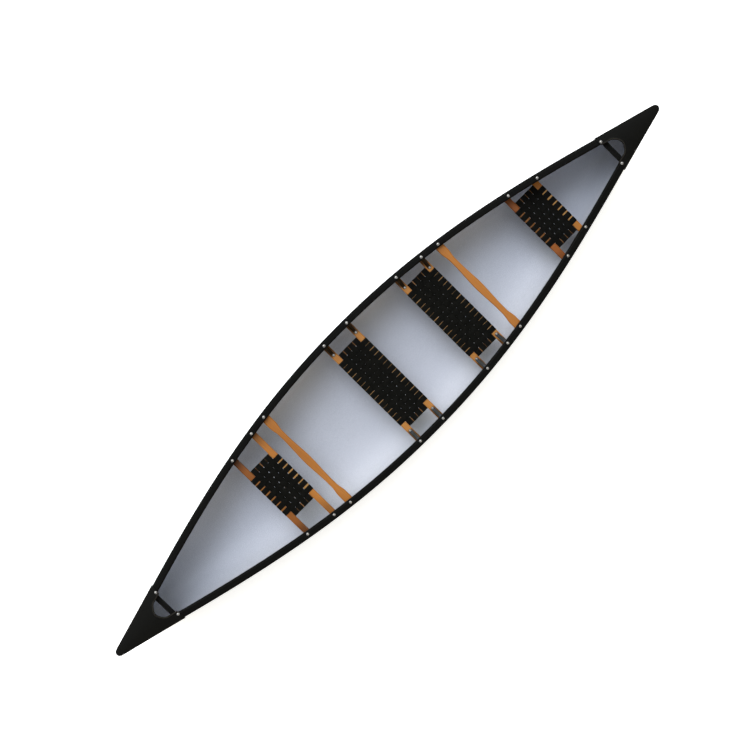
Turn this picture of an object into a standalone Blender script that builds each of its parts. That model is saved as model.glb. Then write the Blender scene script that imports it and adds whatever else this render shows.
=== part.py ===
"""A 16 ft 6 in fishing canoe with four webbed seats, as separate named pieces.

Metres, +Z up. +X points to the bow and +Y to port. The origin is on the floor, under the middle of the hull.
"""

import math

import bmesh
import bpy
import numpy as np

# The gap between pieces that touch, and the smallest chamfer on the wooden pieces
SEAT_GAP = 0.0003
CHAMFER = 0.003

# Plan of the gunwales: the outer edge is a cosine of the distance from the middle
BEAM_HALF = 0.4863
PLAN_REACH = 2.548
PLAN_POWER = 1.034

# Side view: the top edge rises to the ends, and the keel is straight between the rockers
SHEER_MIDDLE = 0.370
SHEER_RISE = 0.190
SHEER_REACH = 2.50
SHEER_POWER = 3
ROCKER_START = 1.00
STEM_START = 1.75
STEM_START_HEIGHT = 0.010
STEM_HEAD = 2.488
STEM_FOOT_REACH = 0.52
STEM_HEAD_PULL = (2.60, 0.22)
STEM_SPACING = 2.2

# The skin, its sections from the middle to the ends, and its bulge below the gunwale
SKIN = 0.0065
BOTTOM_ROUNDING = (5.0, 1.6)
BOTTOM_FLATNESS = (3.0, 1.6)
TUMBLEHOME = 0.012
TUMBLEHOME_FULL_WIDTH = 0.20
STEM_WALL = 0.045
NOSE_ROUNDING = 0.060
SECTION_LEVELS = 13

# Gunwale section: a is measured outwards from the middle of the skin, b up from the gunwale's top
GUNWALE_OUTER = 0.0185
GUNWALE_INNER = 0.0320
GUNWALE_DEPTH = 0.028
SLOT_TOP = 0.005
SLOT_HALF = SKIN / 2 + 0.0004
BOLT_INBOARD = 0.0114
GUNWALE_END = 2.33

# Deck mouldings. With x and y as shares of its depth and half width, the hand-hold's edge is where
# x and y, raised to the two powers of its curve, add up to one.
DECK_NOSE = 2.515
DECK_EDGE_HALF = 0.1536
DECK_EDGE_X = 2.064
DECK_TAPER = 0.290
DECK_NOSE_RADIUS = 0.0285
DECK_WALL = 0.0035
DECK_CROWN = 0.07
DECK_SKIRT = 0.018
HAND_HOLE_HALF = 0.064
HAND_HOLE_DEPTH = 0.050
HAND_HOLE_CURVE = (1.7, 1.45)

# Carrying handles
HANDLE_LENGTH = 0.034
HANDLE_THICKNESS = 0.016
HANDLE_PAD_START = 0.80

# Ash pieces
RAIL_SPACING = 0.216
RAIL_WIDTH = 0.044
RAIL_THICKNESS = 0.021
CROSS_WIDTH = 0.038
WALL_CLEARANCE = 0.002
THWART_THICKNESS = 0.019
THWART_WAIST_HALF = 0.020
THWART_BELLY_HALF = 0.028
THWART_END_HALF = 0.030
THWART_WAIST_AT = 0.208
THWART_FLARE = (0.25, 0.33)

# Seat webbing
STRIP = 0.038
CLOTH = 0.0035
CROSS_STRIPS = 4
CROSS_PITCH = 0.043

# Hangers
SPACER_RADIUS = 0.0065
STRAP_WIDTH = 0.026
STRAP_THICKNESS = 0.003
STRAP_FOOT_END = 0.100
STRAP_FOOT_BEND = 0.070
STRAP_TOP_BEND = 0.024

THWARTS = {"bow_thwart": 0.760, "stern_thwart": -0.883}

# Each deck: the end it is at, how far from the middle its ears begin, and its handle's near edge
DECKS = {"bow": (1, 2.060, 2.084), "stern": (-1, 2.0935, 2.1135)}

# Each seat: place of its middle, depth of the rails' top under the gunwale's top, number and pitch of
# the fore-and-aft strips, half width over the crosswise strips, and what it hangs on
SEATS = {
    "bow_seat": (1.0045, 0.047, 7, 0.0488, 0.216, "spacer"),
    "middle_fore_seat": (0.0295, 0.086, 14, 0.0426, 0.345, "strap"),
    "middle_aft_seat": (-0.6355, 0.086, 14, 0.0426, 0.345, "strap"),
    "stern_seat": (-1.5470, 0.115, 7, 0.0488, 0.216, "spacer"),
}


def clear_scene():
    for item in list(bpy.data.objects):
        bpy.data.objects.remove(item, do_unlink=True)


def make_material(name, color, roughness, metallic=0.0):
    material = bpy.data.materials.new(name)
    material.use_nodes = True
    shader = material.node_tree.nodes["Principled BSDF"]
    shader.inputs["Base Color"].default_value = (*color, 1.0)
    shader.inputs["Roughness"].default_value = roughness
    shader.inputs["Metallic"].default_value = metallic
    return material


def add_piece(name, shape, material):
    """Turns the finished bmesh into a named object with one material."""
    bmesh.ops.remove_doubles(shape, verts=shape.verts, dist=1e-6)
    bmesh.ops.recalc_face_normals(shape, faces=shape.faces)
    mesh = bpy.data.meshes.new(name)
    shape.to_mesh(mesh)
    shape.free()
    piece = bpy.data.objects.new(name, mesh)
    piece.data.materials.append(material)
    bpy.context.scene.collection.objects.link(piece)
    mesh.shade_smooth()
    mesh.set_sharp_from_angle(angle=math.radians(35))
    return piece


def add_strip(shape, first, second):
    """Joins two rows of points with quads, and leaves out the ones that close to nothing."""
    for left, right in zip(zip(first, first[1:]), zip(second, second[1:])):
        corners = [left[0], left[1], right[1], right[0]]
        kept = [corner for i, corner in enumerate(corners) if corner is not corners[i - 1]]
        if len(kept) > 2:
            shape.faces.new(kept)


def loft(name, rings, material):
    """A closed solid through rings of points, with a flat cap at each end."""
    shape = bmesh.new()
    rows = [[shape.verts.new(point) for point in ring] for ring in rings]
    for first, second in zip(rows, rows[1:]):
        add_strip(shape, first + first[:1], second + second[:1])
    shape.faces.new(rows[0])
    shape.faces.new(rows[-1])
    return add_piece(name, shape, material)


def chamfered(low, high, thickness):
    """The eight corners of a bar's section, as pairs of its place across and its depth below the top."""
    return [
        (low + CHAMFER, thickness),
        (high - CHAMFER, thickness),
        (high, thickness - CHAMFER),
        (high, CHAMFER),
        (high - CHAMFER, 0.0),
        (low + CHAMFER, 0.0),
        (low, CHAMFER),
        (low, thickness - CHAMFER),
    ]


def smooth_step(value, start, end):
    share = min(max((value - start) / (end - start), 0.0), 1.0)
    return share * share * (3 - 2 * share)


def make_stations():
    """Distances from the middle at which hull and gunwales are drawn, on the bow's side."""
    body = np.linspace(0, STEM_START, 15)
    quarter = np.linspace(STEM_START, GUNWALE_END, 10)
    head = GUNWALE_END + (STEM_HEAD - GUNWALE_END) * np.sin(np.linspace(0, math.pi / 2, 7))
    return np.concatenate([body, quarter[1:], head[1:]])


STATIONS = make_stations()


def sheer(x):
    """Height of the gunwale's top."""
    return SHEER_MIDDLE + SHEER_RISE * (abs(x) / SHEER_REACH) ** SHEER_POWER


def skin_half(x):
    """Half width to the middle of the skin at its top edge."""
    share = min(abs(x) / PLAN_REACH, 1.0)
    edge = BEAM_HALF * math.cos(math.pi / 2 * share**PLAN_POWER)
    return max(edge - GUNWALE_OUTER, 0.0)


def plan_normal(x):
    """Direction outwards from the port edge, seen from above."""
    step = 0.001
    slope = (skin_half(x + step) - skin_half(x - step)) / (2 * step)
    size = math.hypot(slope, 1.0)
    return -slope / size, 1.0 / size


def edge_point(x, outwards, down=0.0):
    """A point beside the port edge: outwards from the middle of the skin, down from the gunwale's top."""
    across, away = plan_normal(x)
    return x + outwards * across, skin_half(x) + outwards * away, sheer(x) - down


def flange_height(x, outwards=-BOLT_INBOARD):
    """Height of the gunwale's underside, following its straight runs between stations."""
    across, _ = plan_normal(x)
    heights = [sheer(station) for station in STATIONS]
    return float(np.interp(abs(x - outwards * across), STATIONS, heights)) - GUNWALE_DEPTH


def bar_end(x):
    """Half width that a bar under the gunwales can have at this x."""
    return skin_half(x) - (SKIN / 2 + WALL_CLEARANCE) / plan_normal(x)[1]


def stem_point(share, inset):
    """A point of the stem in side view, from the keel (0) to the head (1)."""
    height = STEM_START_HEIGHT + inset * SKIN / STEM_WALL
    slope = 2 * STEM_START_HEIGHT / (STEM_START - ROCKER_START)
    first = (STEM_START, height)
    second = (STEM_START + STEM_FOOT_REACH, height + slope * STEM_FOOT_REACH)
    third = (STEM_HEAD_PULL[0] - inset, STEM_HEAD_PULL[1] + inset)
    last = (STEM_HEAD - inset, sheer(STEM_HEAD) - SLOT_TOP - SEAT_GAP)
    weights = ((1 - share) ** 3, 3 * share * (1 - share) ** 2, 3 * share**2 * (1 - share), share**3)
    return tuple(sum(w * p[k] for w, p in zip(weights, (first, second, third, last))) for k in (0, 1))


def keel_point(x, inset):
    """The keel or stem point that belongs to a station."""
    if x <= STEM_START:
        lift = STEM_START_HEIGHT * max(0.0, (x - ROCKER_START) / (STEM_START - ROCKER_START)) ** 2
        return x, lift + inset * SKIN / STEM_WALL
    share = (x - STEM_START) / (STEM_HEAD - STEM_START)
    steady = (STEM_HEAD - STEM_START) / (3 * STEM_FOOT_REACH)
    return stem_point(steady * share + (1 - steady) * share**STEM_SPACING, inset)


def rim_point(x, inset):
    """The skin's top edge at a station: its outer face where inset is 0, else its inner face."""
    side = -1 if inset else 1
    drawn = x
    if x > GUNWALE_END:
        drawn = GUNWALE_END + (x - GUNWALE_END) * (STEM_HEAD - inset - GUNWALE_END) / (STEM_HEAD - GUNWALE_END)
    px, py, pz = edge_point(drawn, side * SKIN / 2, SLOT_TOP + SEAT_GAP)
    start = STEM_HEAD - inset - NOSE_ROUNDING
    if drawn > start:
        share = min((drawn - start) / NOSE_ROUNDING, 1.0)
        py *= math.sqrt(1 - share * share)
        px = drawn
    return px, py, pz


def hull_section(x, inset):
    """Half of the skin's section at a station, from the keel to the top edge."""
    kx, kz = keel_point(x, inset)
    tx, ty, tz = rim_point(x, inset)
    share = (x / STEM_HEAD) ** 2
    rounding = BOTTOM_ROUNDING[0] + share * (BOTTOM_ROUNDING[1] - BOTTOM_ROUNDING[0])
    flatness = BOTTOM_FLATNESS[0] + share * (BOTTOM_FLATNESS[1] - BOTTOM_FLATNESS[0])
    bulge = TUMBLEHOME * min(1.0, ty / TUMBLEHOME_FULL_WIDTH)
    shoulder = tz - min(GUNWALE_DEPTH - SLOT_TOP, 0.25 * (tz - kz))
    rise = np.linspace(0, 1, 300) ** 3
    width = ty * (1 - (1 - rise) ** rounding) ** (1 / flatness) + bulge * 6.75 * rise * (1 - rise) ** 2
    height = kz + (shoulder - kz) * rise
    run = np.concatenate([[0], np.cumsum(np.hypot(np.diff(width), np.diff(height)))])
    even = np.interp(np.linspace(0, run[-1], SECTION_LEVELS), run, rise)
    points = [
        (kx + (tx - kx) * v, float(np.interp(v, rise, width)), kz + (shoulder - kz) * v) for v in even
    ]
    return points + [(tx, ty, tz)]


def wall_half(x, z):
    """Half width inside the hull at this height."""
    _, widths, heights = zip(*hull_section(x, STEM_WALL))
    return float(np.interp(z, heights, widths))


def add_hull(material):
    """The moulded skin: an outer and an inner bowl, joined along the top edge."""
    shape = bmesh.new()
    for end in (1, -1):
        for side in (1, -1):
            bowls = []
            for inset in (0, STEM_WALL):
                sections = [hull_section(x, inset) for x in STATIONS]
                rows = [[shape.verts.new((end * x, side * y, z)) for x, y, z in row] for row in sections]
                for first, second in zip(rows, rows[1:]):
                    add_strip(shape, first, second)
                bowls.append([row[-1] for row in rows])
            add_strip(shape, bowls[0], bowls[1])
    bmesh.ops.remove_doubles(shape, verts=shape.verts, dist=1e-5)
    return add_piece("hull", shape, material)


def gunwale_profile():
    """The extrusion's section: a crowned top, a slot for the skin, a narrow outer lip, a wide inner flange."""
    out = GUNWALE_OUTER
    inn = GUNWALE_INNER
    deep = GUNWALE_DEPTH
    return [
        (out - 0.003, deep),
        (out, deep - 0.004),
        (out, 0.009),
        (out - 0.0015, 0.0045),
        (out - 0.006, 0.0012),
        (-0.002, 0.0),
        (-0.020, 0.0),
        (0.006 - inn, 0.0012),
        (0.0015 - inn, 0.0045),
        (-inn, 0.009),
        (-inn, deep - 0.004),
        (0.003 - inn, deep),
        (-SLOT_HALF, deep),
        (-SLOT_HALF, SLOT_TOP),
        (SLOT_HALF, SLOT_TOP),
        (SLOT_HALF, deep),
    ]


def add_gunwale(name, side, material):
    half = [x for x in STATIONS if x <= GUNWALE_END + 1e-9]
    rings = []
    for end, x in [(-1, x) for x in reversed(half[1:])] + [(1, x) for x in half]:
        ring = []
        for outwards, down in gunwale_profile():
            px, py, pz = edge_point(x, outwards, down)
            ring.append((end * px, side * py, pz))
        rings.append(ring)
    return loft(name, rings, material)


def deck_half(x):
    """Half width of a deck moulding, whose edges are straight."""
    return DECK_EDGE_HALF - DECK_TAPER * (x - DECK_EDGE_X)


def deck_stations(ear_end, hole_start):
    """Pairs of inner and outer plan points with the outline's direction, from the ears to the nose."""
    lean = math.atan(DECK_TAPER)
    outwards = (math.sin(lean), math.cos(lean))
    nose = DECK_NOSE - DECK_NOSE_RADIUS
    stations = []
    for x in (ear_end, ear_end + 0.022, hole_start):
        inner = HAND_HOLE_HALF + DECK_TAPER * (hole_start - x)
        stations.append(((x, inner), (x, deck_half(x)), outwards))
    for share in (0.42, 0.70, 0.88, 0.97, 1.0):
        x = hole_start + HAND_HOLE_DEPTH * share
        inner = HAND_HOLE_HALF * (1 - share ** HAND_HOLE_CURVE[0]) ** (1 / HAND_HOLE_CURVE[1])
        stations.append(((x, inner), (x, deck_half(x)), outwards))
    for x in np.linspace(hole_start + HAND_HOLE_DEPTH, nose, 5)[1:-1]:
        stations.append(((x, 0.0), (x, deck_half(x)), outwards))
    for turn in np.linspace(math.pi / 2 - lean, 0, 6):
        across = (math.cos(turn), 0.0 if turn == 0 else math.sin(turn))
        outer = (nose + DECK_NOSE_RADIUS * across[0], DECK_NOSE_RADIUS * across[1])
        stations.append(((nose, 0.0), outer, across))
    return stations


def deck_ring(inner, outer, outwards):
    """One half section of the deck: over the crowned top, down the skirt and back under."""

    def at(share, back=0.0):
        x = inner[0] + share * (outer[0] - inner[0]) - back * outwards[0]
        y = inner[1] + share * (outer[1] - inner[1]) - back * outwards[1]
        return x, max(y, 0.0) if outer[1] == 0.0 else y

    def height(x, y, lift):
        half = max(deck_half(min(x, DECK_NOSE - DECK_NOSE_RADIUS)), DECK_NOSE_RADIUS)
        return sheer(x) + SEAT_GAP + lift + DECK_CROWN * half * max(0.0, 1 - (y / half) ** 2)

    shares = (0.0, 0.3, 0.6, 0.85)
    ring = []
    for share in shares:
        x, y = at(share)
        ring.append((x, y, height(x, y, DECK_WALL)))
    x, y = at(1.0, 0.003)
    ring.append((x, y, height(x, y, DECK_WALL)))
    x, y = at(1.0, 0.0006)
    ring.append((x, y, height(x, y, DECK_WALL - 0.0024)))
    x, y = at(1.0)
    ring.append((x, y, sheer(x) - 0.002))
    ring.append((x, y, sheer(x) - DECK_SKIRT))
    x, y = at(1.0, DECK_WALL)
    ring.append((x, y, sheer(x) - DECK_SKIRT))
    ring.append((x, y, height(x, y, 0.0)))
    for share in reversed(shares):
        x, y = at(share)
        ring.append((x, y, height(x, y, 0.0)))
    return ring


def add_deck(name, end, ear_end, hole_start, material):
    """A moulded end cap with two ears beside its hand-hold."""
    stations = deck_stations(ear_end, hole_start)
    shape = bmesh.new()
    for side in (1, -1):
        rows = []
        for inner, outer, outwards in stations:
            ring = deck_ring(inner, outer, outwards)
            rows.append([shape.verts.new((end * x, side * y, z)) for x, y, z in ring])
        for (inner, _, _), first, second in zip(stations, rows, rows[1:]):
            add_strip(shape, first, second)
            if inner[1] > 0.0:
                add_strip(shape, [first[-1], first[0]], [second[-1], second[0]])
        shape.faces.new(rows[0])
    bmesh.ops.remove_doubles(shape, verts=shape.verts, dist=1e-5)
    return add_piece(name, shape, material)


def add_crosswise_bar(name, edges, top, thickness, shares, material):
    """A bar from wall to wall. edges(share) gives its fore and aft sides, top(x) the height of its top."""
    rings = []
    for share in shares:
        low, high = edges(share)
        ring = []
        for x, drop in chamfered(low, high, thickness):
            z = top(x) - drop
            ring.append((x, share * min(bar_end(abs(x)), wall_half(abs(x), z) - WALL_CLEARANCE), z))
        rings.append(ring)
    return loft(name, rings, material)


def add_thwart(name, middle, material):
    reach = bar_end(abs(middle))
    lowest = min(flange_height(abs(middle) - THWART_END_HALF), flange_height(abs(middle) + THWART_END_HALF))

    def edges(share):
        away = abs(share) * reach
        belly = math.cos(math.pi / 2 * min(away / THWART_WAIST_AT, 1.0)) ** 2
        flare = smooth_step(away, *THWART_FLARE)
        half = THWART_WAIST_HALF
        half += (THWART_BELLY_HALF - THWART_WAIST_HALF) * belly
        half += (THWART_END_HALF - THWART_WAIST_HALF) * flare
        return middle - half, middle + half

    shares = np.linspace(-1, 1, 25)
    add_crosswise_bar(name, edges, lambda x: lowest - SEAT_GAP, THWART_THICKNESS, shares, material)


def add_handle(name, end, ear_end, near, far, material):
    """The carrying bar, with a pad at each end that reaches back under the deck's bolts."""

    def edges(share):
        low = ear_end if abs(share) > HANDLE_PAD_START else near
        return tuple(sorted((end * low, end * far)))

    def top(x):
        return flange_height(x) - 2 * SEAT_GAP

    shares = [-1.0, -HANDLE_PAD_START - 0.01, 0.01 - HANDLE_PAD_START, -0.4, 0.0]
    shares += [-share for share in reversed(shares[:-1])]
    add_crosswise_bar(name, edges, top, HANDLE_THICKNESS, shares, material)


def add_box(name, low, high, material):
    shape = bmesh.new()
    bmesh.ops.create_cube(shape, size=1.0)
    for vert in shape.verts:
        for k in range(3):
            vert.co[k] = low[k] if vert.co[k] < 0 else high[k]
    return add_piece(name, shape, material)


def strip_spans(count, pitch, middle):
    """The two edges of each of a row of webbing strips."""
    first = middle - pitch * (count - 1) / 2
    return [(first + pitch * i - STRIP / 2, first + pitch * i + STRIP / 2) for i in range(count)]


def inside(value, spans):
    return any(low < value < high for low, high in spans)


def add_webbing(name, rails, top, seat_half, count, pitch, material):
    """The woven strips as one cloth: a top layer, and a tab down the outside of the frame for each strip."""
    middle = sum(rails) / 2
    fore = max(rails) + RAIL_WIDTH / 2 + SEAT_GAP
    aft = min(rails) - RAIL_WIDTH / 2 - SEAT_GAP
    long_strips = strip_spans(count, pitch, 0.0)
    cross_strips = strip_spans(CROSS_STRIPS, CROSS_PITCH, middle)
    inner_half = seat_half - CLOTH
    xs = sorted({aft - CLOTH, aft, fore, fore + CLOTH} | {edge for span in cross_strips for edge in span})
    ys = {-seat_half, -inner_half, inner_half, seat_half} | {edge for span in long_strips for edge in span}
    ys = sorted(ys)
    zs = [top - RAIL_THICKNESS, top + SEAT_GAP, top + SEAT_GAP + CLOTH]

    def is_cloth(x, y, z):
        along = inside(y, long_strips)
        across = inside(x, cross_strips)
        if z > zs[1]:
            return along or across
        return (along and not aft < x < fore) or (across and abs(y) > inner_half)

    shape = bmesh.new()
    corners = {}

    def corner(i, j, k):
        if (i, j, k) not in corners:
            corners[i, j, k] = shape.verts.new((xs[i], ys[j], zs[k]))
        return corners[i, j, k]

    def filled(i, j, k):
        if not (0 <= i < len(xs) - 1 and 0 <= j < len(ys) - 1 and 0 <= k < len(zs) - 1):
            return False
        return is_cloth((xs[i] + xs[i + 1]) / 2, (ys[j] + ys[j + 1]) / 2, (zs[k] + zs[k + 1]) / 2)

    for i in range(len(xs) - 1):
        for j in range(len(ys) - 1):
            for k in range(len(zs) - 1):
                if not filled(i, j, k):
                    continue
                for axis in range(3):
                    for step in (-1, 1):
                        cell = [i, j, k]
                        cell[axis] += step
                        if filled(*cell):
                            continue
                        base = [i, j, k]
                        base[axis] += max(step, 0)
                        u, v = [other for other in range(3) if other != axis]
                        loop = []
                        for du, dv in ((0, 0), (1, 0), (1, 1), (0, 1)):
                            place = list(base)
                            place[u] += du
                            place[v] += dv
                            loop.append(corner(*place))
                        shape.faces.new(loop)
    bmesh.ops.recalc_face_normals(shape, faces=shape.faces)
    bmesh.ops.dissolve_limit(shape, angle_limit=math.radians(1), verts=shape.verts, edges=shape.edges)
    add_piece(name, shape, material)


def add_spacer(name, x, side, top, material):
    """A turned ash spacer on a seat bolt, cut at the top to the gunwale's slope."""
    _, y, _ = edge_point(abs(x), -BOLT_INBOARD)
    shape = bmesh.new()
    bmesh.ops.create_cone(
        shape, cap_ends=True, segments=16, radius1=SPACER_RADIUS, radius2=SPACER_RADIUS, depth=1.0
    )
    for vert in shape.verts:
        upper = vert.co.z > 0
        vert.co.x += x
        vert.co.y += side * y
        vert.co.z = flange_height(vert.co.x) - 2 * SEAT_GAP if upper else top + SEAT_GAP
    add_piece(name, shape, material)


def ribbon(route, thickness):
    """The two faces of a bent strip, as rows of points along its route."""
    route = np.array(route)
    runs = np.diff(route, axis=0)
    runs /= np.linalg.norm(runs, axis=1)[:, None]
    normals = np.stack([-runs[:, 1], runs[:, 0]], axis=1)
    mitres = np.vstack([normals[:1], normals]) + np.vstack([normals, normals[-1:]])
    mitres *= thickness / np.sum(mitres**2, axis=1)[:, None]
    return route + mitres, route - mitres


def add_strap(name, x, side, top, material):
    """A flat metal hanger: bolted under the gunwale, bent down and inwards, and bolted on the rail."""
    _, bolt, _ = edge_point(abs(x), -BOLT_INBOARD)
    edges = (x - STRAP_WIDTH / 2, x + STRAP_WIDTH / 2)
    high = min(flange_height(edge) for edge in edges) - SEAT_GAP - STRAP_THICKNESS / 2
    foot = top + SEAT_GAP + STRAP_THICKNESS / 2
    route = [(bolt, high), (bolt - STRAP_TOP_BEND, high)]
    route += [(bolt - STRAP_FOOT_BEND, foot), (bolt - STRAP_FOOT_END, foot)]
    rings = []
    for i, (upper, lower) in enumerate(zip(*ribbon(route, STRAP_THICKNESS))):
        corners = [(edge, upper) for edge in edges] + [(edge, lower) for edge in reversed(edges)]
        rings.append([(edge, side * (bar_end(abs(edge)) if i == 0 else y), z) for edge, (y, z) in corners])
    loft(name, rings, material)


def add_seat(name, spec, wood, cloth, metal):
    """Two rails from wall to wall, two cross-pieces between them, the webbing and the hangers."""
    middle, drop, count, pitch, seat_half, hanger = spec
    fore = middle + RAIL_SPACING / 2
    aft = middle - RAIL_SPACING / 2
    top = sheer(middle) - drop
    for label, x in (("fore_rail", fore), ("aft_rail", aft)):
        low, high = x - RAIL_WIDTH / 2, x + RAIL_WIDTH / 2
        shares = (-1.0, 0.0, 1.0)
        add_crosswise_bar(
            f"{name}_{label}", lambda _: (low, high), lambda _: top, RAIL_THICKNESS, shares, wood
        )
        for side, place in ((1, "port"), (-1, "starboard")):
            hanger_name = f"{name}_{label[:-5]}_{hanger}_{place}"
            if hanger == "spacer":
                add_spacer(hanger_name, x, side, top, wood)
            else:
                add_strap(hanger_name, x, side, top, metal)
    outer = seat_half - CLOTH - SEAT_GAP
    between = (aft + RAIL_WIDTH / 2 + SEAT_GAP, fore - RAIL_WIDTH / 2 - SEAT_GAP)
    for side, place in ((1, "port"), (-1, "starboard")):
        ends = sorted((side * (outer - CROSS_WIDTH), side * outer))
        low = (between[0], ends[0], top - RAIL_THICKNESS)
        high = (between[1], ends[1], top)
        add_box(f"{name}_cross_piece_{place}", low, high, wood)
    add_webbing(f"{name}_webbing", (fore, aft), top, seat_half, count, pitch, cloth)


def build():
    clear_scene()
    green = make_material("hull_laminate", (0.020, 0.055, 0.030), 0.35)
    vinyl = make_material("gunwale_vinyl", (0.012, 0.012, 0.011), 0.50)
    moulding = make_material("deck_moulding", (0.010, 0.010, 0.009), 0.55)
    ash = make_material("ash_wood", (0.58, 0.26, 0.07), 0.45)
    webbing = make_material("seat_webbing", (0.006, 0.007, 0.005), 0.85)
    strap = make_material("hanger_strap", (0.10, 0.11, 0.12), 0.40, 1.0)
    add_hull(green)
    add_gunwale("gunwale_port", 1, vinyl)
    add_gunwale("gunwale_starboard", -1, vinyl)
    for place, (end, ear_end, near) in DECKS.items():
        far = near + HANDLE_LENGTH
        add_deck(f"{place}_deck", end, ear_end, far, moulding)
        add_handle(f"{place}_handle", end, ear_end, near, far, moulding)
    for name, middle in THWARTS.items():
        add_thwart(name, middle, ash)
    for name, spec in SEATS.items():
        add_seat(name, spec, ash, webbing, strap)


build()
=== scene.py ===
"""The looks of a four-seat fishing canoe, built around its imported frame.

Metres, +X to the bow, +Y to port, +Z up.
"""

import math

import bmesh
import bpy
import numpy as np
from mathutils import Matrix, Vector


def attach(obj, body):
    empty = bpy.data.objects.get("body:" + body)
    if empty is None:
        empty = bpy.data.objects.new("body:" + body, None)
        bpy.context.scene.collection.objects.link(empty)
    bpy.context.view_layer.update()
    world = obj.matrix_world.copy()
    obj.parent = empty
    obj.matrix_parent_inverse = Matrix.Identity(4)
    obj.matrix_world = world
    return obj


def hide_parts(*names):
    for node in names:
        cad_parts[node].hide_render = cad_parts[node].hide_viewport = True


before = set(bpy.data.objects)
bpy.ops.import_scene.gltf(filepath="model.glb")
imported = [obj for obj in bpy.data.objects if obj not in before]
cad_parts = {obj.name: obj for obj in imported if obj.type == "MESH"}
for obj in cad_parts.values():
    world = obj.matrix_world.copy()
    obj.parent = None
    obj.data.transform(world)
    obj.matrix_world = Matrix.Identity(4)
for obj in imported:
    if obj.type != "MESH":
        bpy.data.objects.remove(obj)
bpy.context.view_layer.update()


# The hull is one skin of moulded laminate with a shallow-arch bottom and round, slightly recurved stems,
# whose very ends are filled with foam. Outside it is dark green vinyl, satin and lightly scuffed below;
# inside it has a light bluish grey lining with a fine speckle. The two faces are pieces of their own.
QUARTER = math.pi / 2
BEAM_HALF = 0.4863
PLAN_REACH = 2.548
PLAN_POWER = 1.034
SHEER_MIDDLE = 0.370
SHEER_RISE = 0.190
SHEER_REACH = 2.50
SHEER_POWER = 3
ROCKER_START = 1.00
STEM_START = 1.75
STEM_START_HEIGHT = 0.010
STEM_HEAD = 2.488
STEM_FOOT_REACH = 0.52
STEM_HEAD_PULL = (2.60, 0.22)
STEM_SPACING = 2.2
SKIN = 0.0065
LINING_FROM = 0.86
BOTTOM_ROUNDING = (5.0, 1.6)
BOTTOM_FLATNESS = (3.0, 1.6)
SHOULDER_SHARE = 0.25
TUMBLEHOME = 0.012
TUMBLEHOME_FULL_WIDTH = 0.20
BULGE_TO_ONE = 27 / 4
STEM_WALL = 0.045
NOSE_ROUNDING = 0.060
GUNWALE_OUTER = 0.0185
GUNWALE_DEPTH = 0.028
GUNWALE_END = 2.33
SLOT_TOP = 0.005
SEAT_GAP = 0.0003
SEAM = 1e-5
MERGED = 1e-6
DEGENERATE = 1e-7
SHARP_ANGLE = 40
SECTION_SAMPLES = 400
HULL_LEVELS = 26
HULL_STATIONS = np.concatenate(
    [
        np.linspace(0, STEM_START, 40),
        np.linspace(STEM_START, GUNWALE_END, 24)[1:],
        GUNWALE_END + (STEM_HEAD - GUNWALE_END) * np.sin(np.linspace(0, QUARTER, 18))[1:],
    ]
)
GREENS = ((0.008, 0.028, 0.015), (0.013, 0.038, 0.021))
SCUFFED_GREEN = (0.07, 0.10, 0.08)
GREYS = ((0.420, 0.440, 0.487), (0.470, 0.488, 0.537))
PALE_GRAIN = (0.66, 0.68, 0.73)
DARK_GRAIN = (0.25, 0.27, 0.32)
PALE_SPECKLE = (0.60, 0.62, 0.68)


def sheer(x):
    """Height of the gunwale's top."""
    return SHEER_MIDDLE + SHEER_RISE * (abs(x) / SHEER_REACH) ** SHEER_POWER


def skin_half(x):
    """Half width to the middle of the skin at its top edge."""
    share = min(abs(x) / PLAN_REACH, 1.0)
    return max(BEAM_HALF * math.cos(QUARTER * share**PLAN_POWER) - GUNWALE_OUTER, 0.0)


def plan_normal(x):
    """Direction outwards from the port edge, seen from above."""
    step = 0.001
    slope = (skin_half(x + step) - skin_half(x - step)) / (2 * step)
    size = math.hypot(slope, 1.0)
    return -slope / size, 1.0 / size


def edge_point(x, outwards, down=0.0):
    """A point beside the port edge: outwards from the middle of the skin, down from the gunwale's top."""
    across, away = plan_normal(x)
    return x + outwards * across, skin_half(x) + outwards * away, sheer(x) - down


def keel_point(x, deep):
    """The keel or stem point that belongs to a station; deep is 0 on the outside and 1 on the inside."""
    inset = deep * STEM_WALL
    height = STEM_START_HEIGHT + deep * SKIN
    if x <= STEM_START:
        rocker = max(0.0, (x - ROCKER_START) / (STEM_START - ROCKER_START)) ** 2
        return x, STEM_START_HEIGHT * rocker + deep * SKIN
    slope = 2 * STEM_START_HEIGHT / (STEM_START - ROCKER_START)
    first = (STEM_START, height)
    second = (STEM_START + STEM_FOOT_REACH, height + slope * STEM_FOOT_REACH)
    third = (STEM_HEAD_PULL[0] - inset, STEM_HEAD_PULL[1] + inset)
    last = (STEM_HEAD - inset, sheer(STEM_HEAD) - SLOT_TOP - SEAT_GAP)
    share = (x - STEM_START) / (STEM_HEAD - STEM_START)
    steady = (STEM_HEAD - STEM_START) / (3 * STEM_FOOT_REACH)
    t = steady * share + (1 - steady) * share**STEM_SPACING
    weights = ((1 - t) ** 3, 3 * t * (1 - t) ** 2, 3 * t**2 * (1 - t), t**3)
    return tuple(sum(w * p[k] for w, p in zip(weights, (first, second, third, last))) for k in (0, 1))


def rim_point(x, deep):
    """A point of the skin's top edge at a station."""
    head = STEM_HEAD - deep * STEM_WALL
    drawn = x
    if x > GUNWALE_END:
        drawn = GUNWALE_END + (x - GUNWALE_END) * (head - GUNWALE_END) / (STEM_HEAD - GUNWALE_END)
    px, py, pz = edge_point(drawn, SKIN / 2 * (1 - 2 * deep), SLOT_TOP + SEAT_GAP)
    if drawn > head - NOSE_ROUNDING:
        share = min((drawn - head + NOSE_ROUNDING) / NOSE_ROUNDING, 1.0)
        return drawn, py * math.sqrt(1 - share * share), pz
    return px, py, pz


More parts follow.
